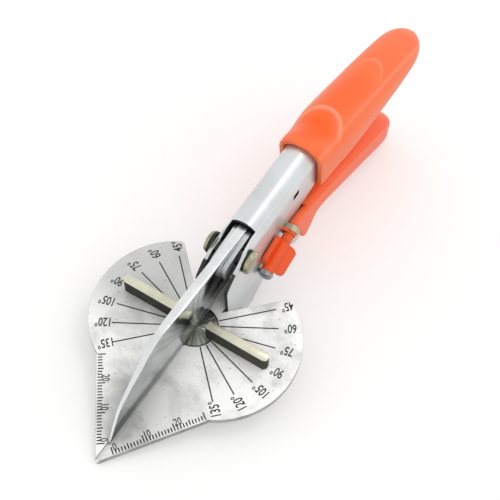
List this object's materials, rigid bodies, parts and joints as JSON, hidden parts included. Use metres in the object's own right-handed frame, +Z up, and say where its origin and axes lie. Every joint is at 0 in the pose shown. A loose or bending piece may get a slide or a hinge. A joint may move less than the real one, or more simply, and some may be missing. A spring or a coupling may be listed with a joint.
{
  "type": "mitre shears",
  "caption": "Hand shears with a straight blade closing on a pointed anvil plate marked with mitre angles, fence bars, sheathed handles and a side latch.",
  "frame": {"origin": "middle of the part's footprint on the bench, under the frame's channel", "axes": "+X to the latch's side along the pivot, +Y back along the handles, +Z up from the bench"},
  "size_m": [0.0734, 0.207, 0.0538],
  "materials": {
    "plated_steel": "bright plated sheet, satin",
    "polished_steel": "mirror polished blade steel",
    "plate_alloy": "lightly brushed die-cast alloy with black print",
    "anvil_steel": "turned face with fine rings",
    "pale_nickel": "pale nickel plate",
    "bright_chrome": "bright plated screw",
    "dark_steel": "plain dark steel",
    "spring_steel": "drawn spring wire",
    "grip_vinyl": "soft orange dipped vinyl",
    "latch_plastic": "moulded orange plastic"
  },
  "bodies": {
    "frame_body": {"frame": "plated_steel", "upper_grip": "grip_vinyl", "base_plate": "plate_alloy", "anvil_insert": "anvil_steel", "fence_bar_right": "pale_nickel", "fence_bar_left": "pale_nickel", "fence_screw_right_inner": "dark_steel", "fence_screw_right_outer": "dark_steel", "fence_screw_left_inner": "dark_steel", "fence_screw_left_outer": "dark_steel", "plate_rivet_front": "plated_steel", "plate_rivet_rear": "plated_steel", "pivot_bolt": "pale_nickel", "pivot_nut": "pale_nickel", "pivot_washer_right": "dark_steel", "pivot_washer_left": "dark_steel", "pivot_spacer_right": "plated_steel", "pivot_spacer_left": "plated_steel", "return_spring": "spring_steel", "latch_screw": "bright_chrome", "latch_nut": "plated_steel"},
    "lever_body": {"lever": "plated_steel", "lower_grip": "grip_vinyl", "blade": "polished_steel", "blade_screw": "plated_steel", "blade_nut": "plated_steel", "spring_seat": "dark_steel"},
    "latch_body": {"latch": "latch_plastic"}
  },
  "joints": [
    {"name": "lever_pivot", "type": "hinge", "parent": "frame_body", "child": "lever_body", "pos_m": [0, -0.03321, 0.03431], "axis": [-1, 0, 0], "range_deg": [0, 28], "deforming": ["return_spring"]},
    {"name": "latch_turn", "type": "hinge", "parent": "frame_body", "child": "latch_body", "pos_m": [0.00885, -0.02047, 0.01862], "axis": [0, 0.8862, 0.4633], "range_deg": [0, 30]}
  ]
}
